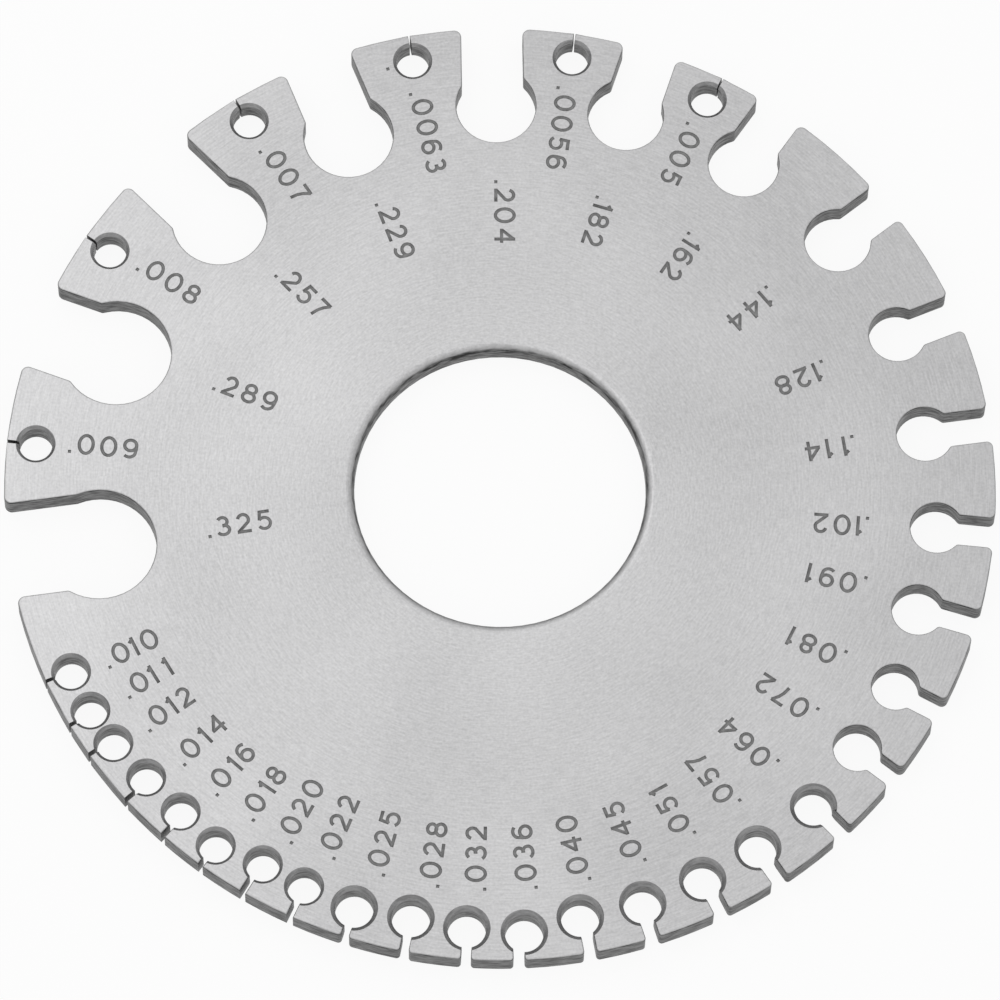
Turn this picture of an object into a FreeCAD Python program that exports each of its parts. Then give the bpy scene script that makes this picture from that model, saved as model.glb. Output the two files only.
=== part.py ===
import FreeCAD, Part

import math
import os

import Sketcher

# Wire gauge plate: one flat ground steel disc with a plain hole in its middle.
# A keyhole slot for each of the wire sizes No. 0 to No. 36 is cut in from the rim:
# a drilled relief hole and a parallel slot that opens from it through the rim.
# The plate lies on the XY plane, its middle on the Z axis, its numbered face up.

NODE = "gauge_plate"

# Whole plate, mm and degrees. The widest slot is No. 0 and the finest is No. 36.
# Between them each slot is wider than the next by the same ratio.
PLATE_SIZES = {
    "plate_diameter": 82.55,
    "plate_thickness": 2.38,
    "bore_diameter": 24.3,
    "bore_chamfer": 0.45,
    "widest_slot": 8.252,
    "finest_slot": 0.127,
    "slot_overrun": 2.0,
    "wide_mouth_radius": 0.6,
    "middle_mouth_radius": 0.5,
    "narrow_mouth_radius": 0.3,
    "neck_radius": 0.35,
    "narrow_drill": 3.175,
    "fine_drill": 2.778,
    "deep_countersink": 0.37,
    "light_countersink": 0.27,
}

# Runs of gauge numbers that are cut and finished alike: the rounding of the slots'
# mouths, the rounding of their necks, the drill for their relief holes and its
# countersink. Where no drill is named, each relief hole is wider than its own slot
# by a margin. The finest slots are slits with nothing rounded.
RUNS = {
    "wide": ("wide_mouth_radius", "neck_radius", None, None),
    "middle": ("middle_mouth_radius", "neck_radius", None, None),
    "narrow": ("narrow_mouth_radius", None, "narrow_drill", "deep_countersink"),
    "fine": (None, None, "fine_drill", "light_countersink"),
    "finest": (None, None, "fine_drill", "light_countersink"),
}

# How much wider than its slot the relief hole of each wide or middle slot is.
MARGINS = {
    0: 1.25, 1: 1.8, 2: 1.4, 3: 1.7, 4: 1.55, 5: 1.75, 6: 1.85,
    7: 1.9, 8: 1.5, 9: 1.85, 10: 1.8, 11: 2.05, 12: 1.9, 13: 2.15,
}

# One row for each gauge number: its run, the slot's bearing in degrees from +X, how
# far the centre of its relief hole lies in from the rim, and how far that is shifted
# to the anticlockwise side of the slot's middle line.
SLOTS = {
    0: ("wide", 189.5, 7.6, 0.45),
    1: ("wide", 161.2, 7.1, 0.0),
    2: ("wide", 136.2, 7.8, 0.0),
    3: ("wide", 113.5, 7.3, 0.0),
    4: ("wide", 92.4, 7.0, -0.25),
    5: ("wide", 73.4, 6.2, 0.25),
    6: ("wide", 56.5, 5.7, -0.2),
    7: ("middle", 39.6, 5.3, -0.15),
    8: ("middle", 23.7, 5.3, 0.05),
    9: ("middle", 9.3, 5.5, -0.1),
    10: ("middle", 355.9, 4.8, 0.0),
    11: ("middle", 344.6, 5.0, -0.25),
    12: ("middle", 333.1, 4.2, 0.1),
    13: ("middle", 323.5, 4.0, 0.1),
    14: ("narrow", 314.5, 3.3, -0.2),
    15: ("narrow", 305.3, 3.3, 0.0),
    16: ("narrow", 297.6, 3.2, -0.2),
    17: ("narrow", 289.1, 3.1, 0.1),
    18: ("narrow", 281.8, 3.2, -0.3),
    19: ("narrow", 273.6, 2.4, 0.5),
    20: ("narrow", 267.5, 2.7, -0.1),
    21: ("narrow", 260.4, 3.0, 0.0),
    22: ("narrow", 253.4, 2.6, 0.0),
    23: ("fine", 246.7, 2.8, 0.0),
    24: ("fine", 240.6, 2.9, 0.2),
    25: ("fine", 234.8, 2.1, 0.0),
    26: ("fine", 229.2, 2.5, -0.3),
    27: ("fine", 223.2, 2.5, -0.35),
    28: ("fine", 216.3, 2.2, 0.3),
    29: ("fine", 212.1, 2.1, -0.25),
    30: ("fine", 206.1, 2.2, 0.1),
    31: ("finest", 176.0, 2.4, 0.0),
    32: ("finest", 148.8, 2.4, 0.0),
    33: ("finest", 124.3, 2.3, 0.0),
    34: ("finest", 102.2, 2.3, 0.1),
    35: ("finest", 82.6, 2.2, -0.1),
    36: ("finest", 64.3, 2.3, 0.3),
}

LAST_NUMBER = max(SLOTS)

# The sketcher's numbers for the start, end and centre of a line or circle, and for
# the sketch's own origin.
START, END, CENTRE = 1, 2, 3
ORIGIN = -1

# The countersinking tool is a right-angled cone, so its sides slope by half of that.
CONE_SLOPE = 45.0
# Its point reaches this many times the countersink's depth, well inside the hole.
CONE_REACH = 1.5

TOLERANCE = 1e-4


def fill_sheet(doc):
    """Write every driving size into the spreadsheet, one alias to a row."""
    sheet = doc.addObject("Spreadsheet::Sheet", "Sizes")
    rows = dict(PLATE_SIZES)
    for number, (run, bearing, inset, shift) in SLOTS.items():
        rows[f"bearing_{number}"] = bearing
        rows[f"inset_{number}"] = inset
        rows[f"shift_{number}"] = shift
    for number, margin in MARGINS.items():
        rows[f"margin_{number}"] = margin
    for line, (alias, value) in enumerate(rows.items(), start=1):
        sheet.set(f"A{line}", alias)
        sheet.set(f"B{line}", str(value))
        sheet.setAlias(f"B{line}", alias)
    doc.recompute()
    return sheet


def numbers_of(run):
    """The gauge numbers of a run."""
    return [number for number, (own_run, *sizes) in SLOTS.items() if own_run == run]


def slot_width_rule(number):
    """The slot of a gauge number, as an expression of the widest and finest slots."""
    step = f"{number} / {LAST_NUMBER}"
    return f"Sizes.widest_slot * (Sizes.finest_slot / Sizes.widest_slot) ^ ({step})"


def slot_width(sheet, number):
    """The same width as a number."""
    return sheet.widest_slot * (sheet.finest_slot / sheet.widest_slot) ** (number / LAST_NUMBER)


def relief_rule(number):
    """The diameter of a relief hole, as an expression."""
    run, *place = SLOTS[number]
    mouth, neck, drill, countersink = RUNS[run]
    if drill:
        return f"Sizes.{drill}"
    return f"{slot_width_rule(number)} + Sizes.margin_{number}"


def relief_width(sheet, number):
    """The same diameter as a number."""
    run, *place = SLOTS[number]
    mouth, neck, drill, countersink = RUNS[run]
    if drill:
        return sheet.get(drill)
    return slot_width(sheet, number) + sheet.get(f"margin_{number}")


def new_sketch(body, name):
    """An empty sketch on the body's own XY plane."""
    sketch = body.newObject("Sketcher::SketchObject", name)
    plane = next(f for f in body.Origin.OriginFeatures if f.Role == "XY_Plane")
    sketch.AttachmentSupport = [(plane, "")]
    sketch.MapMode = "FlatFace"
    return sketch


def bind(sketch, dimensions):
    """Add dimensions to a sketch, each tied to its rule in the spreadsheet."""
    first = sketch.ConstraintCount
    sketch.addConstraint([constraint for constraint, rule in dimensions])
    for index, (constraint, rule) in enumerate(dimensions, start=first):
        sketch.setExpression(f"Constraints[{index}]", rule)


def set_out(sheet, number, along, across):
    """A point given along and across a slot's bearing."""
    turn = math.radians(sheet.get(f"bearing_{number}"))
    x = along * math.cos(turn) - across * math.sin(turn)
    y = along * math.sin(turn) + across * math.cos(turn)
    return FreeCAD.Vector(x, y, 0)


def locate(line, corner, number, place, along_rule, across_rule):
    """The two dimensions that hold a point of a sketch at its place on a bearing."""
    angle = f"(Sizes.bearing_{number} * 1 deg)"
    x_rule = f"({along_rule}) * cos{angle} - ({across_rule}) * sin{angle}"
    y_rule = f"({along_rule}) * sin{angle} + ({across_rule}) * cos{angle}"
    return [(Sketcher.Constraint("DistanceX", ORIGIN, START, line, corner, place.x), x_rule),
            (Sketcher.Constraint("DistanceY", ORIGIN, START, line, corner, place.y), y_rule)]


def new_pocket(body, sketch, name):
    """A pocket that starts from a sketch and runs up into the plate."""
    pocket = body.newObject("PartDesign::Pocket", name)
    pocket.Profile = sketch
    pocket.Reversed = True
    return pocket


def cut(body, pocket):
    """Let a pocket take its material, and stop if it takes none."""
    before = pocket.BaseFeature.Shape.Volume
    body.Document.recompute()
    if not body.Shape.Volume < before - TOLERANCE:
        raise RuntimeError(f"{pocket.Name} cuts nothing")


def cut_through(body, sketch, name):
    """Cut a sketch that lies on the bottom face up through the whole plate."""
    pocket = new_pocket(body, sketch, name)
    pocket.Type = "ThroughAll"
    cut(body, pocket)


def edge_names(shape, wanted):
    """The names of the edges of a shape that a test picks."""
    return [f"Edge{i}" for i, edge in enumerate(shape.Edges, start=1) if wanted(edge)]


def dress(body, kind, name, wanted, size, rule):
    """Put a fillet or chamfer, tied to the spreadsheet, on the picked edges."""
    base = body.Tip
    feature = body.newObject(f"PartDesign::{kind}", name)
    feature.Base = (base, edge_names(base.Shape, wanted))
    measure = "Radius" if kind == "Fillet" else "Size"
    setattr(feature, measure, size)
    feature.setExpression(measure, rule)
    body.Document.recompute()
    if not feature.isValid():
        raise RuntimeError(f"{name} can't be made")


def is_round(edge, radius):
    """True for a part of a circle of the given radius."""
    return isinstance(edge.Curve, Part.Circle) and abs(edge.Curve.Radius - radius) < TOLERANCE


def is_upright(edge):
    """True for a straight edge that runs through the plate's thickness."""
    if len(edge.Vertexes) != 2:
        return False
    start, end = (vertex.Point for vertex in edge.Vertexes)
    return math.hypot(end.x - start.x, end.y - start.y) < TOLERANCE


def bearing_of(point):
    """The bearing of a point about the Z axis, in degrees."""
    return math.degrees(math.atan2(point.y, point.x))


def faces_slot(sheet, number, point):
    """True for a point that is nearer to this slot's middle line than its width."""
    turn = math.radians(bearing_of(point) - sheet.get(f"bearing_{number}"))
    reach = math.hypot(point.x, point.y)
    return math.cos(turn) > 0 and abs(reach * math.sin(turn)) < slot_width(sheet, number)


def make_disc(body):
    """The ground disc with its hole."""
    sheet = body.Document.Sizes
    sketch = new_sketch(body, "disc_outline")
    upright = FreeCAD.Vector(0, 0, 1)
    for size in ("plate_diameter", "bore_diameter"):
        diameter = sheet.get(size)
        circle = sketch.addGeometry(Part.Circle(FreeCAD.Vector(), upright, diameter / 2), False)
        sketch.addConstraint(Sketcher.Constraint("Coincident", circle, CENTRE, ORIGIN, START))
        bind(sketch, [(Sketcher.Constraint("Diameter", circle, diameter), f"Sizes.{size}")])
    disc = body.newObject("PartDesign::Pad", "disc")
    disc.Profile = sketch
    disc.Length = sheet.plate_thickness
    disc.setExpression("Length", "Sizes.plate_thickness")
    body.Document.recompute()


def chamfer_bore(body):
    """Both edges of the middle hole are eased."""
    sheet = body.Document.Sizes
    radius = sheet.bore_diameter / 2
    dress(body, "Chamfer", "bore_edges", lambda edge: is_round(edge, radius),
          sheet.bore_chamfer, "Sizes.bore_chamfer")


def relief_circles(body, name, numbers, margin, margin_rule):
    """A sketch of the relief holes of some gauge numbers, each wider by a margin all round."""
    sheet = body.Document.Sizes
    sketch = new_sketch(body, name)
    circles = []
    dimensions = []
    for line, number in enumerate(numbers):
        along = sheet.plate_diameter / 2 - sheet.get(f"inset_{number}")
        place = set_out(sheet, number, along, sheet.get(f"shift_{number}"))
        diameter = relief_width(sheet, number) + 2 * margin
        circles.append(Part.Circle(place, FreeCAD.Vector(0, 0, 1), diameter / 2))
        rule = f"{relief_rule(number)} + 2 * {margin_rule}"
        dimensions.append((Sketcher.Constraint("Diameter", line, diameter), rule))
        dimensions += locate(line, CENTRE, number, place,
                             f"Sizes.plate_diameter / 2 - Sizes.inset_{number}", f"Sizes.shift_{number}")
    sketch.addGeometry(circles, False)
    bind(sketch, dimensions)
    return sketch


def drill_reliefs(body):
    """The relief holes, each on its slot's bearing or a little beside it."""
    sketch = relief_circles(body, "relief_outlines", SLOTS, 0.0, "0")
    cut_through(body, sketch, "relief_holes")


def countersink_reliefs(body, size, parity):
    """Countersink on both faces every other relief hole that has this size of countersink.

    Neighbours go in separate passes, so that two countersinks may run into each other.
    """
    sheet = body.Document.Sizes
    numbers = [number for number, (run, *sizes) in SLOTS.items()
               if RUNS[run][-1] == size and number % 2 == parity]
    depth = sheet.get(size)
    for face in ("lower", "upper"):
        name = f"{face}_{size}s_{parity}"
        sketch = relief_circles(body, f"{name}_outlines", numbers, depth, f"Sizes.{size}")
        pocket = new_pocket(body, sketch, name)
        pocket.Length = CONE_REACH * depth
        pocket.setExpression("Length", f"{CONE_REACH} * Sizes.{size}")
        pocket.TaperAngle = -CONE_SLOPE
        if face == "upper":
            sketch.setExpression(".AttachmentOffset.Base.z", "Sizes.plate_thickness")
            pocket.Reversed = False
        cut(body, pocket)


def cut_slots(body, run):
    """The parallel slots of a run, each from its relief hole out through the rim."""
    sheet = body.Document.Sizes
    sketch = new_sketch(body, f"{run}_slot_outlines")
    lines = []
    joints = []
    dimensions = []
    for number in numbers_of(run):
        inner = sheet.plate_diameter / 2 - sheet.get(f"inset_{number}")
        outer = sheet.plate_diameter / 2 + sheet.slot_overrun
        half = slot_width(sheet, number) / 2
        inner_rule = f"Sizes.plate_diameter / 2 - Sizes.inset_{number}"
        outer_rule = "Sizes.plate_diameter / 2 + Sizes.slot_overrun"
        half_rule = f"{slot_width_rule(number)} / 2"
        corners = [(inner, -half, inner_rule, f"-1 * {half_rule}"),
                   (outer, -half, outer_rule, f"-1 * {half_rule}"),
                   (outer, half, outer_rule, half_rule),
                   (inner, half, inner_rule, half_rule)]
        places = [set_out(sheet, number, along, across) for along, across, *rules in corners]
        first = len(lines)
        for side, (along, across, along_rule, across_rule) in enumerate(corners):
            following = (side + 1) % len(corners)
            lines.append(Part.LineSegment(places[side], places[following]))
            joints.append(Sketcher.Constraint("Coincident", first + side, END, first + following, START))
            dimensions += locate(first + side, START, number, places[side], along_rule, across_rule)
    sketch.addGeometry(lines, False)
    sketch.addConstraint(joints)
    bind(sketch, dimensions)
    cut_through(body, sketch, f"{run}_slots")


def round_mouths(body, run):
    """Round the corners where the slots of a run meet the rim."""
    mouth, neck, drill, countersink = RUNS[run]
    if mouth is None:
        return
    sheet = body.Document.Sizes
    rim = sheet.plate_diameter / 2

    def at_mouth(edge):
        if not is_upright(edge):
            return False
        point = edge.Vertexes[0].Point
        if abs(math.hypot(point.x, point.y) - rim) > TOLERANCE:
            return False
        return any(faces_slot(sheet, number, point) for number in numbers_of(run))

    dress(body, "Fillet", f"{run}_mouths", at_mouth, sheet.get(mouth), f"Sizes.{mouth}")


def round_necks(body, run):
    """Round the corners where the slots of a run meet their relief holes."""
    mouth, neck, drill, countersink = RUNS[run]
    if neck is None:
        return
    sheet = body.Document.Sizes
    rim = sheet.plate_diameter / 2

    def at_neck(edge):
        if not is_upright(edge):
            return False
        point = edge.Vertexes[0].Point
        reach = math.hypot(point.x, point.y)
        for number in numbers_of(run):
            inset = sheet.get(f"inset_{number}")
            if rim - inset < reach < rim - inset / 4 and faces_slot(sheet, number, point):
                return True
        return False

    dress(body, "Fillet", f"{run}_necks", at_neck, sheet.get(neck), f"Sizes.{neck}")


def check(doc):
    """Stop if any object of the document failed."""
    for item in doc.Objects:
        if "Invalid" in item.State or "Error" in item.State:
            raise RuntimeError(f"{item.Name} failed: {item.State}")


def build():
    """Make the plate in the order in which it is machined."""
    doc = FreeCAD.newDocument("wire_gauge_plate")
    fill_sheet(doc)
    body = doc.addObject("PartDesign::Body", "Plate")
    body.Label = NODE
    make_disc(body)
    chamfer_bore(body)
    drill_reliefs(body)
    for size in ("deep_countersink", "light_countersink"):
        for parity in (0, 1):
            countersink_reliefs(body, size, parity)
    for run in RUNS:
        cut_slots(body, run)
        round_mouths(body, run)
        round_necks(body, run)
    doc.recompute()
    check(doc)
    if body.Shape.isNull() or not body.Shape.isValid() or len(body.Shape.Solids) != 1:
        raise RuntimeError("the plate is not one valid solid")
    return body


plate = build()
os.makedirs("parts", exist_ok=True)
plate.Shape.exportStep(os.path.join("parts", plate.Label + ".step"))
print(NODE, "volume", round(plate.Shape.Volume, 2), "faces", len(plate.Shape.Faces))
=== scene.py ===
import math

import bmesh
import bpy
from mathutils import Matrix, Vector


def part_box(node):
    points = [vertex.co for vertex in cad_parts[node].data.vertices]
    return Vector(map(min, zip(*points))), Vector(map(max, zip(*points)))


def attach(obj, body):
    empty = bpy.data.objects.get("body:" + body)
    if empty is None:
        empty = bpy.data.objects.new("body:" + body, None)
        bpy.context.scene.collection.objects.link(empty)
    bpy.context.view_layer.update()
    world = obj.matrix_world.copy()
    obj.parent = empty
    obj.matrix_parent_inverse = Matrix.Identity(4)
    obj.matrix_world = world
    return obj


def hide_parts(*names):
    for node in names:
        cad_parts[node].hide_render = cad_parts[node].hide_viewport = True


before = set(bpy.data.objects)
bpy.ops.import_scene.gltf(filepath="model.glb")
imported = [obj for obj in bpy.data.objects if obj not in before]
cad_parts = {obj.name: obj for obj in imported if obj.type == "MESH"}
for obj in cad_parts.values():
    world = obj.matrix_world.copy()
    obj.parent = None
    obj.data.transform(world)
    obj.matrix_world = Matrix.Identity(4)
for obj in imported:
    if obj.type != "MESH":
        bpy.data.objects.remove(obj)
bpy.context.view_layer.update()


# Gauge plate: one disc of hard steel, ground flat, with its slots and holes cut through.
# Tumbling breaks the sharp edges that the cutters leave. The faces are then lapped in
# circles about the middle hole, which leaves fine rings in a satin surface.
edge_break = 0.00012
easing_steps = 3
square_to_face = math.radians(60)
shading_crease = math.radians(40)
# A slit up to this gap is too narrow for the full break and takes a smaller one.
slit_gap = 0.0004
slit_break = 0.00004
# The middle hole's own eased edges lie within this reach and are rounded once more.
bore_reach = 0.014
bore_bend = math.radians(30)
bore_easing = 0.00028
# How nearly a flat face's normal points up, and how nearly a slit's rim is radial.
flat_upward = 0.99
along_radius = 0.97
outline_weld = 1e-6
same_plane = math.radians(0.5)


def is_flat(face):
    """Whether a face belongs to the plate's top or bottom."""
    return abs(face.normal.z) > flat_upward


def sharp_rims(shape):
    """The edges where a flat face meets a wall that still stands square to it."""
    rims = []
    for edge in shape.edges:
        flat = [is_flat(face) for face in edge.link_faces]
        if any(flat) and not all(flat) and edge.calc_face_angle() > square_to_face:
            rims.append(edge)
    return rims


def slit_rims(rims):
    """The rims of the finest slits: along a radius, with a second one close beside."""
    radial = []
    for edge in rims:
        start, end = (vertex.co for vertex in edge.verts)
        middle, along = (start + end) / 2, (end - start).xy
        outward = middle.xy.normalized()
        if along.length > slit_gap and abs(along.normalized().dot(outward)) > along_radius:
            radial.append((edge, middle))
    close = []
    for edge, middle in radial:
        others = [beside for other, beside in radial if other is not edge]
        if any((middle - beside).length < slit_gap for beside in others):
            close.append(edge)
    return close


def ease(shape, edges, width):
    """Round these edges off, by the same width on both of their faces."""
    bmesh.ops.bevel(shape, geom=edges, offset=width, offset_type="OFFSET",
                    segments=easing_steps, profile=0.5, affect="EDGES", clamp_overlap=False)


def break_edges(shape):
    """Weld the outline, free the flat faces of inner edges and break every sharp rim."""
    bmesh.ops.remove_doubles(shape, verts=shape.verts, dist=outline_weld)
    bmesh.ops.dissolve_limit(shape, angle_limit=same_plane, verts=shape.verts, edges=shape.edges)
    for edge in shape.edges:
        edge.smooth = edge.calc_face_angle() < shading_crease
    ease(shape, slit_rims(sharp_rims(shape)), slit_break)
    ease(shape, sharp_rims(shape), edge_break)
    bore = []
    for edge in shape.edges:
        reach = max(vertex.co.xy.length for vertex in edge.verts)
        if reach < bore_reach and edge.calc_face_angle() > bore_bend:
            bore.append(edge)
    for edge in bore:
        edge.smooth = True
    ease(shape, bore, bore_easing)


rule_gap = 0.00211
rules_each_way = 19
rule_weld = 1e-7


def rule_faces(shape):
    """Rule the flat faces into squares, so that no single face carries every number."""
    for axis in (Vector((1, 0, 0)), Vector((0, 1, 0))):
        for rule in range(-rules_each_way, rules_each_way + 1):
            every = shape.verts[:] + shape.edges[:] + shape.faces[:]
            bmesh.ops.bisect_plane(shape, geom=every, plane_co=axis * (rule * rule_gap),
                                   plane_no=axis, dist=rule_weld)
    flats = [face for face in shape.faces if is_flat(face) and len(face.verts) > 4]
    bmesh.ops.triangulate(shape, faces=flats)


def finished_mesh(name, shape):
    """The worked shape as a mesh of its own."""
    mesh = bpy.data.meshes.new(name)
    shape.to_mesh(mesh)
    shape.free()
    return mesh


def placed(name, data):
    """A new object in the scene for a mesh, a curve, a lamp or a camera."""
    thing = bpy.data.objects.new(name, data)
    bpy.context.scene.collection.objects.link(thing)
    return thing


plate_shape = bmesh.new()
plate_shape.from_mesh(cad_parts["gauge_plate"].data)
break_edges(plate_shape)
rule_faces(plate_shape)
for face in plate_shape.faces:
    face.smooth = True
plate_mesh = finished_mesh("gauge_plate_steel", plate_shape)
plate = placed("gauge_plate_steel", plate_mesh)


class Wire:
    """One output of a node. Sums that are written with wires add their Math nodes."""

    def __init__(self, tree, socket=None):
        self.tree = tree
        self.socket = socket

    def add(self, kind, settings=None, inputs=None, output=0):
        """Any node: its type, its settings, and the values or wires of its sockets."""
        node = self.tree.nodes.new(kind)
        for name, value in (settings or {}).items():
            setattr(node, name, value)
        for name, value in (inputs or {}).items():
            socket = node.inputs[name]
            if isinstance(value, Wire):
                self.tree.links.new(value.socket, socket)
            else:
                socket.default_value = value
        return Wire(self.tree, node.outputs[output]) if node.outputs else None

    def beside(self, output):
        """Another output of the same node."""
        return Wire(self.tree, self.socket.node.outputs[output])

    def maths(self, operation, first, second=0.0):
        """A Math node on values or wires."""
        return self.add("ShaderNodeMath", {"operation": operation}, {0: first, 1: second})

    def __add__(self, other):
        return self.maths("ADD", self, other)

    def __radd__(self, other):
        return self.maths("ADD", other, self)

    def __sub__(self, other):
        return self.maths("SUBTRACT", self, other)

    def __rsub__(self, other):
        return self.maths("SUBTRACT", other, self)

    def __mul__(self, other):
        return self.maths("MULTIPLY", self, other)

    def __rmul__(self, other):
        return self.maths("MULTIPLY", other, self)

    def __abs__(self):
        return self.maths("ABSOLUTE", self)

    def ramp(self, low, high):
        """This value stretched so that low becomes 0 and high becomes 1."""
        ends = {0: self, 1: low, 2: high, 3: 0.0, 4: 1.0}
        return self.add("ShaderNodeMapRange", {"clamp": True}, ends)

    def blend(self, low, high):
        """A colour that goes from low to high, each a colour or a wire, with this value."""
        low, high = (end if isinstance(end, Wire) else (*end, 1) for end in (low, high))
        settings = {"data_type": "RGBA", "clamp_factor": True}
        return self.add("ShaderNodeMix", settings, {0: self, 6: low, 7: high}, output=2)

    def noise(self, scale, detail):
        """Noise at this place, with about as many spots to the metre as the scale says."""
        inputs = {"Vector": self, "Scale": scale, "Detail": detail}
        return self.add("ShaderNodeTexNoise", None, inputs)


def emptied(finish):
    """A start for the nodes of a material or a world, with the usual ones cleared away."""
    finish.use_nodes = True
    finish.node_tree.nodes.clear()
    return Wire(finish.node_tree)


ring_scale = 6800.0
ring_length = 0.0032


def lapped_rings(place):
    """Short scratches in circles about the middle hole, from 0 to 1."""
    x = place.add("ShaderNodeSeparateXYZ", None, {0: place}, output="X")
    y = x.beside("Y")
    flat = place.add("ShaderNodeCombineXYZ", None, {0: x, 1: y})
    reach = place.add("ShaderNodeVectorMath", {"operation": "LENGTH"}, {0: flat}, output="Value")
    turn = place.maths("ARCTAN2", y, x)
    drawn_out = {0: reach * ring_scale, 1: turn * (ring_scale * ring_length)}
    spread = place.add("ShaderNodeCombineXYZ", None, drawn_out)
    return place.add("ShaderNodeTexNoise", {"noise_dimensions": "2D"},
                     {"Vector": spread, "Scale": 1.0, "Detail": 2.0, "Roughness": 0.6})


# The face mixes wide clouds, lapped rings and fine grain, and cut walls have streaks.
steel_light = (0.62, 0.618, 0.623)
steel_dark = (0.395, 0.394, 0.398)
cloud_scale, cloud_share = 55.0, 0.32
grain_scale, grain_share = 4600.0, 0.35
ring_share = 0.33
mid_tones = (0.3, 0.7)
# The cut walls are painted far darker than steel. This is partly their duller cut finish and
# partly painted shade, standing in for the dim surroundings that they reflect.
wall_finish_and_shade_light = (0.20, 0.20, 0.20)
wall_finish_and_shade_dark = (0.035, 0.035, 0.035)
wall_scale = 900.0
wall_flattening = (1, 1, 6)
wall_tones = (0.38, 0.62)
# How far up a normal points where the walls' darker colour, with its painted shade, and their
# dull finish end, and where the face's are full.
wall_to_face = (0.53, 0.97)
wall_dullness, face_polish, ring_dullness = 0.40, 0.06, 0.08
ring_relief, grain_relief = 0.6, 0.4
scratch_depth, scratch_strength = 0.00004, 0.12

steel = bpy.data.materials.new("ground_steel")
start = emptied(steel)
place = start.add("ShaderNodeTexCoord", output="Object")
normal = start.add("ShaderNodeNewGeometry", output="Normal")
upright = abs(start.add("ShaderNodeSeparateXYZ", None, {0: normal}, output="Z"))
on_face = upright.ramp(*wall_to_face)
clouds = place.noise(cloud_scale, 4.0)
grain = place.noise(grain_scale, 2.0)
rings = lapped_rings(place)
shade = (clouds.ramp(*mid_tones) * cloud_share + rings.ramp(*mid_tones) * ring_share
         + grain.ramp(*mid_tones) * grain_share)
face_colour = shade.blend(steel_dark, steel_light)
flattened = start.add("ShaderNodeVectorMath", {"operation": "MULTIPLY"},
                      {0: place, 1: wall_flattening})
streaks = flattened.noise(wall_scale, 3.0).ramp(*wall_tones)
# Painted shade: beyond their duller finish, the walls' streaked colour is kept dark for the dim
# surroundings that they reflect.
wall_finish_and_shade_colour = streaks.blend(wall_finish_and_shade_dark, wall_finish_and_shade_light)
scratches = start.add("ShaderNodeBump", None, {
    "Strength": scratch_strength, "Distance": scratch_depth,
    "Height": rings * ring_relief + grain * grain_relief})
# The walls, and in part the eased edges, take the darker wall colour with its painted shade.
shader = start.add("ShaderNodeBsdfPrincipled", None, {
    "Base Color": on_face.blend(wall_finish_and_shade_colour, face_colour), "Metallic": 0.9,
    "Roughness": wall_dullness - on_face * face_polish + rings * ring_dullness,
    "Normal": scratches})
start.add("ShaderNodeOutputMaterial", None, {"Surface": shader})
plate_mesh.materials.append(steel)

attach(plate, "root")
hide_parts("gauge_plate")


# Size numbers: each slot's width in decimal inches, cut into the plate's upper face by a
# round-nosed engraving cutter that follows plain single-stroke figures. Each number
# reads from the rim inwards, and its grooves keep a little dark stain.
mm = 0.001

# The figures are drawn in mm, as the paths of the cutter's centre.
figure_height = 1.49
stroke_width = 0.31
groove_depth = 0.10
arc_step = 15


def arc(x, y, across, up, start_angle, end_angle):
    """Points of an oval arc, in degrees anticlockwise from the right."""
    count = max(2, round(abs(end_angle - start_angle) / arc_step))
    points = []
    for i in range(count + 1):
        angle = math.radians(start_angle + (end_angle - start_angle) * i / count)
        points.append((x + across * math.cos(angle), y + up * math.sin(angle)))
    return points


def oval(x, y, across, up):
    """A closed oval, with its first point not repeated."""
    return arc(x, y, across, up, 0, 360)[:-1]


# Each figure has its width and its strokes, each with a flag for one that closes on itself.
figures = {
    "0": (1.16, [(oval(0.58, 0.75, 0.58, 0.79), True)]),
    "1": (0.36, [([(0.05, 1.16), (0.34, 1.40), (0.36, 1.52)], False),
                 ([(0.36, 1.60), (0.36, -0.13)], False)]),
    "2": (0.98, [(arc(0.47, 1.03, 0.45, 0.47, 165, -30) + [(0.03, 0.06)], False),
                 ([(-0.12, 0.0), (1.06, 0.0)], False)]),
    "3": (0.98, [(arc(0.45, 1.13, 0.40, 0.37, 150, -95), False),
                 (arc(0.46, 0.40, 0.50, 0.41, 95, -155), False)]),
    "4": (1.06, [([(0.84, 1.62), (0.84, -0.13)], False),
                 ([(0.84, 1.48), (0.02, 0.52)], False),
                 ([(-0.10, 0.48), (1.18, 0.48)], False)]),
    "5": (0.98, [([(1.0, 1.49), (0.06, 1.49)], False),
                 ([(0.19, 1.49), (0.10, 0.76)], False),
                 (arc(0.48, 0.48, 0.50, 0.49, 142, -152), False)]),
    "6": (1.0, [(oval(0.50, 0.46, 0.50, 0.47), True),
                (arc(0.56, 0.94, 0.56, 0.56, 48, 150) + [(0.0, 0.78), (0.0, 0.46)], False)]),
    "7": (0.98, [([(-0.06, 1.49), (1.04, 1.49)], False),
                 ([(0.98, 1.49), (0.62, 0.98), (0.42, 0.48), (0.32, -0.13)], False)]),
    "8": (1.02, [(oval(0.51, 0.40, 0.51, 0.41), True),
                 (oval(0.51, 1.13, 0.42, 0.37), True)]),
}
# The 9 is the 6 turned upside down.
six_width, six_strokes = figures["6"]
nine_strokes = []
for path, closed in six_strokes:
    nine_strokes.append(([(six_width - x, figure_height - y) for x, y in path], closed))
figures["9"] = (six_width, nine_strokes)

# The cutter's centre runs a little above the face. Each further stroke of a figure is cut
# a hair less deep than the one before, so that no two of its solids share a surface.
cutter_rise = 0.06
cutter_radius = math.hypot(stroke_width / 2, cutter_rise)
pass_step = 0.007
figure_weld = 1e-4


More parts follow.
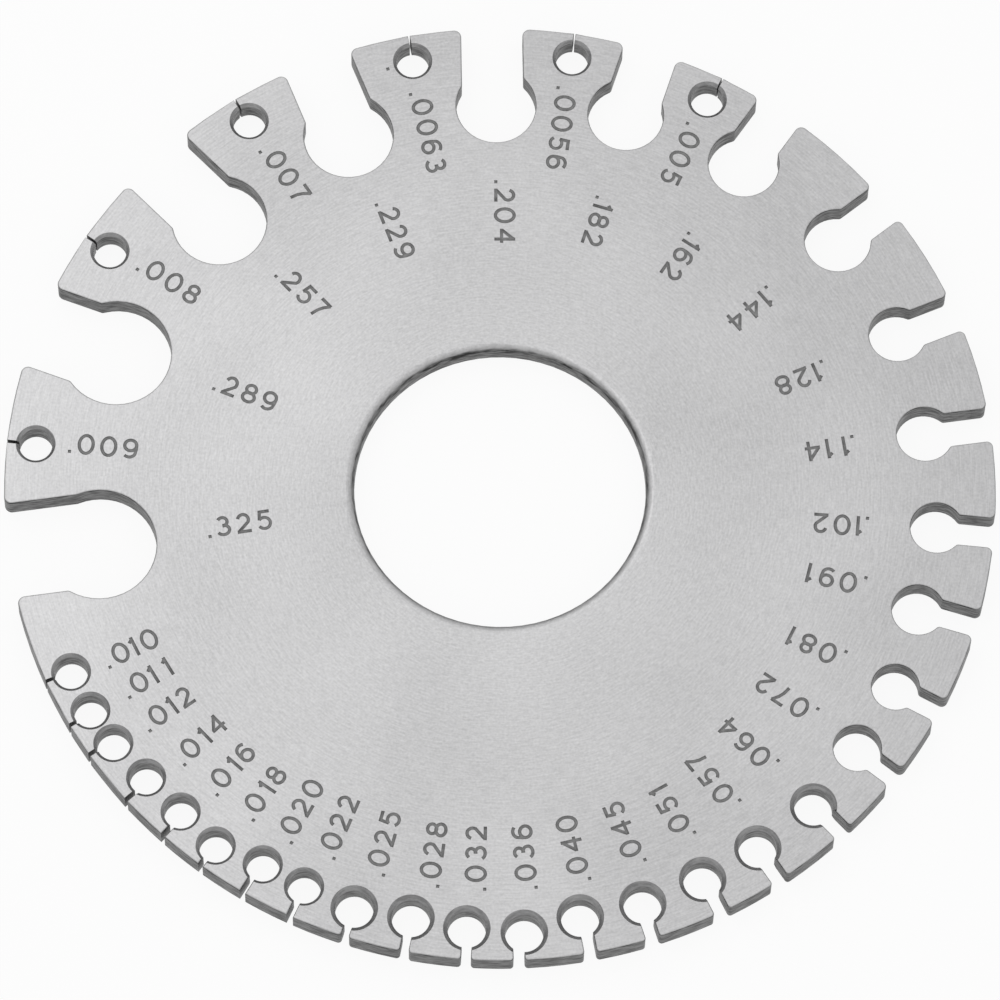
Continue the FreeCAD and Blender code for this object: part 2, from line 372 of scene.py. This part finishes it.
def swept_cutter(path, closed, rise):
    """The solid that the round cutter sweeps along one stroke, as a mesh in mm."""
    line = bpy.data.curves.new("stroke", "CURVE")
    line.dimensions = "3D"
    line.bevel_depth = cutter_radius
    line.bevel_resolution = 2
    line.use_fill_caps = True
    spline = line.splines.new("POLY")
    spline.points.add(len(path) - 1)
    for point, (x, y) in zip(spline.points, path):
        point.co = (x, y, rise, 1)
    spline.use_cyclic_u = closed
    holder = placed("stroke", line)
    mesh = bpy.data.meshes.new_from_object(holder)
    bpy.data.objects.remove(holder)
    return mesh


def welded(mesh):
    """The same mesh with its seams closed and its faces turned outwards."""
    shape = bmesh.new()
    shape.from_mesh(mesh)
    bmesh.ops.remove_doubles(shape, verts=shape.verts, dist=figure_weld)
    bmesh.ops.recalc_face_normals(shape, faces=shape.faces)
    shape.to_mesh(mesh)
    shape.free()
    return mesh


def worked(thing):
    """The mesh of an object as its modifiers leave it."""
    bpy.context.view_layer.update()
    seen = thing.evaluated_get(bpy.context.evaluated_depsgraph_get())
    return bpy.data.meshes.new_from_object(seen)


def joined(mesh, other):
    """One mesh around two solids that run into each other."""
    first, second = placed("first", mesh), placed("second", other)
    union = first.modifiers.new("union", "BOOLEAN")
    union.operation = "UNION"
    union.solver = "EXACT"
    union.object = second
    result = worked(first)
    bpy.data.objects.remove(first)
    bpy.data.objects.remove(second)
    return result


figure_cutters = {}
for figure, (width, strokes) in figures.items():
    whole = None
    for order, (path, closed) in enumerate(strokes):
        solid = welded(swept_cutter(path, closed, cutter_rise + order * pass_step))
        whole = joined(whole, solid) if whole else solid
    figure_cutters[figure] = welded(whole)

dot_size = 0.27
dot_shape = bmesh.new()
bmesh.ops.create_cube(dot_shape, size=1)
dot_shape.transform(Matrix.Diagonal((dot_size, dot_size, 2 * groove_depth, 1)))
dot_mesh = finished_mesh("dot", dot_shape)

# The gaps along a number, and by how much some draw their later figures in.
figure_gap = 0.42
dot_gap = 0.45
narrow_dot_gap = 0.11
twin_gap = 0.30
drawn_in = {".010": 0.36, ".011": 0.28, ".012": 0.19}


def set_out(text):
    """Where each figure of a number starts after its point, and the number's length."""
    first_gap = narrow_dot_gap if text[1] == "1" else dot_gap
    along = dot_size / 2 + first_gap + stroke_width / 2
    starts = []
    for before, figure in zip(text, text[1:]):
        if before == figure == "1":
            along += twin_gap
        starts.append(along)
        if len(starts) == 1:
            along -= drawn_in.get(text, 0)
        along += figures[figure][0] + stroke_width + figure_gap
    return starts, along - figure_gap


# Each number: its bearing in degrees from +X, the reach of its point in mm, and how far
# it leans from the line to the middle, in degrees anticlockwise.
numbers = [
    (".325", 190.2, 24.5, 0.5), (".289", 160.0, 25.4, -0.5), (".257", 135.0, 26.5, -0.5),
    (".229", 112.3, 27.2, 0.0), (".204", 90.5, 27.3, 1.0), (".182", 72.2, 27.2, 2.0),
    (".162", 54.7, 27.7, 3.0), (".144", 38.4, 28.6, 2.5), (".128", 22.5, 29.1, 1.5),
    (".114", 8.6, 29.7, 2.0), (".102", 354.8, 30.7, 2.0), (".091", 345.2, 31.4, 2.0),
    (".081", 333.1, 32.1, 2.5), (".072", 323.3, 32.7, 3.0), (".064", 313.5, 33.2, 4.0),
    (".057", 305.6, 33.8, 3.5), (".051", 297.8, 34.2, 3.5), (".045", 290.0, 34.7, 3.0),
    (".040", 282.1, 35.0, 2.5), (".036", 274.9, 35.1, 1.5), (".032", 267.9, 35.2, 3.0),
    (".028", 261.7, 35.3, 2.0), (".025", 254.3, 35.3, 2.0), (".022", 247.3, 35.3, 2.0),
    (".020", 241.3, 35.6, 1.5), (".018", 235.4, 35.6, 1.0), (".016", 229.5, 35.7, 0.5),
    (".014", 223.4, 35.7, 1.5), (".012", 216.9, 36.0, 0.5), (".011", 211.5, 35.8, 1.0),
    (".010", 206.5, 36.0, 1.5), (".009", 175.4, 36.0, 0.5), (".008", 147.9, 36.0, -0.5),
    (".007", 124.2, 36.1, 1.0), (".0063", 102.2, 36.0, 1.5), (".0056", 82.3, 36.2, 1.5),
    (".005", 64.2, 36.3, 2.5),
]
# One stray point is punched beside the hole of the .0063 slit.
stray_bearing, stray_reach = 105.6, 38.7
engraving = bmesh.new()


def engrave(mesh, placing):
    """Add one cutter, placed on the plate, to all the engraving."""
    before = len(engraving.verts)
    engraving.from_mesh(mesh)
    engraving.verts.ensure_lookup_table()
    bmesh.ops.transform(engraving, matrix=placing, verts=engraving.verts[before:])


def turned(angle):
    """A turn about the upright axis."""
    return Matrix.Rotation(angle, 4, "Z")


def moved(x, y=0):
    """A move within the plate's face."""
    return Matrix.Translation((x, y, 0))


face_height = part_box("gauge_plate")[1].z
face_up = Matrix.Translation((0, 0, face_height)) @ Matrix.Scale(mm, 4)
for text, bearing, reach, lean in numbers:
    starts, length = set_out(text)
    half = length / 2
    middle = face_up @ turned(math.radians(bearing)) @ moved(reach - half)
    point = middle @ turned(math.pi + math.radians(lean)) @ moved(-half)
    baseline = point @ moved(0, -figure_height / 2)
    engrave(dot_mesh, baseline)
    for figure, start_at in zip(text[1:], starts):
        engrave(figure_cutters[figure], baseline @ moved(start_at))
engrave(dot_mesh, face_up @ turned(math.radians(stray_bearing)) @ moved(stray_reach))
engraving_mesh = finished_mesh("engraving", engraving)

stain_light = (0.26, 0.26, 0.26)
stain_dark = (0.16, 0.16, 0.16)
stain_scale = 2200.0
stain_depth = 0.00002

stained = bpy.data.materials.new("engraved_steel")
start = emptied(stained)
stain = start.add("ShaderNodeTexCoord", output="Object").noise(stain_scale, 3.0)
pitting = start.add("ShaderNodeBump", None,
                    {"Strength": 0.2, "Distance": stain_depth, "Height": stain})
shader = start.add("ShaderNodeBsdfPrincipled", None, {
    "Base Color": stain.ramp(*mid_tones).blend(stain_dark, stain_light), "Metallic": 0.5,
    "Roughness": 0.55, "Normal": pitting})
start.add("ShaderNodeOutputMaterial", None, {"Surface": shader})
engraving_mesh.materials.append(stained)

cutter = placed("engraving", engraving_mesh)
cut = plate.modifiers.new("engraved_numbers", "BOOLEAN")
cut.operation = "DIFFERENCE"
cut.solver = "MANIFOLD"
cut.material_mode = "TRANSFER"
cut.object = cutter
engraved = worked(plate)
bpy.data.objects.remove(cutter)
plate.modifiers.clear()

# The grooves' rims stay sharp, so that the face between them shades as flat.
grooved = bmesh.new()
grooved.from_mesh(engraved)
for edge in grooved.edges:
    if len({face.material_index for face in edge.link_faces}) > 1:
        edge.smooth = False
grooved.to_mesh(engraved)
grooved.free()
plate.data = engraved
shading = plate.modifiers.new("even_shading", "WEIGHTED_NORMAL")
shading.keep_sharp = True
shading.weight = 100


# Table: a wide sheet of matt white paper, on which the plate lies loose. The sheet keeps
# the plate's soft shadow, and is white wherever the camera or a reflection sees it.
white = (1, 1, 1, 1)
paper_light = (0.92, 0.92, 0.92)
paper_dark = (0.90, 0.90, 0.90)
fibre_scale = 400.0
white_share = 0.92
table_half = 1.5
# The sheet is a hair below the plate's underside, so that the two share no surface.
table_drop = 0.00005


def background_share(start):
    """1 where the camera or a reflection in metal sees the background itself, else 0."""
    camera_ray = start.add("ShaderNodeLightPath", output="Is Camera Ray")
    glossy_ray = camera_ray.beside("Is Glossy Ray")
    seen = camera_ray + glossy_ray + camera_ray.beside("Is Transmission Ray")
    return start.maths("MINIMUM", seen, 1.0)


paper = bpy.data.materials.new("white_paper")
start = emptied(paper)
fibres = start.add("ShaderNodeTexCoord", output="Object").noise(fibre_scale, 2.0)
matt = start.add("ShaderNodeBsdfPrincipled", None,
                 {"Base Color": fibres.blend(paper_dark, paper_light), "Roughness": 0.9})
glow = start.add("ShaderNodeEmission", None, {"Color": white, "Strength": 1.0})
pale = start.add("ShaderNodeMixShader", None,
                 {0: background_share(start) * white_share, 1: matt, 2: glow})
start.add("ShaderNodeOutputMaterial", None, {"Surface": pale})

table_shape = bmesh.new()
bmesh.ops.create_grid(table_shape, x_segments=1, y_segments=1, size=table_half)
table_mesh = finished_mesh("table", table_shape)
table_mesh.materials.append(paper)
table = placed("table", table_mesh)
table.location.z = -table_drop


# Light: one square soft lamp stands high at the back on the left, in a pale room that
# lights the plate evenly from all round. The room itself is seen as white.
lamp_place = Vector((-0.07, 0.05, 0.17))
lamp_side = 0.14
lamp_watts = 0.036
room_level = 0.7


def facing(place, target):
    """The stand of a lamp or a camera that looks from a place at a target."""
    aim = (target - place).to_track_quat("-Z", "Y").to_matrix().to_4x4()
    return Matrix.Translation(place) @ aim


lamp = bpy.data.lights.new("main_light", "AREA")
lamp.shape = "SQUARE"
lamp.size = lamp_side
lamp.energy = lamp_watts
placed("main_light", lamp).matrix_world = facing(lamp_place, Vector((0, 0, 0)))

room = bpy.data.worlds.new("pale_room")
start = emptied(room)
even_light = start.add("ShaderNodeBackground", None, {"Color": white, "Strength": room_level})
backdrop = start.add("ShaderNodeBackground", None, {"Color": white, "Strength": 1.0})
surroundings = start.add("ShaderNodeMixShader", None,
                         {0: background_share(start), 1: even_light, 2: backdrop})
start.add("ShaderNodeOutputWorld", None, {"Surface": surroundings})
bpy.context.scene.world = room
bpy.context.scene.view_settings.view_transform = "Standard"


# View: the camera stands high on the near side of the plate and looks through a long
# lens, turned very slightly clockwise.
view_height = math.radians(70.1)
view_roll = math.radians(1.5)
view_distance = 0.825
looked_at = Vector((0.00002, -0.00119, 0.00238))
eye = looked_at + view_distance * Vector((0, -math.cos(view_height), math.sin(view_height)))
lens = bpy.data.cameras.new("photo_camera")
lens.lens = 357.0
lens.sensor_width = 36
lens.clip_start = 0.01
camera = placed("photo_camera", lens)
camera.matrix_world = facing(eye, looked_at) @ turned(view_roll)
bpy.context.scene.camera = camera
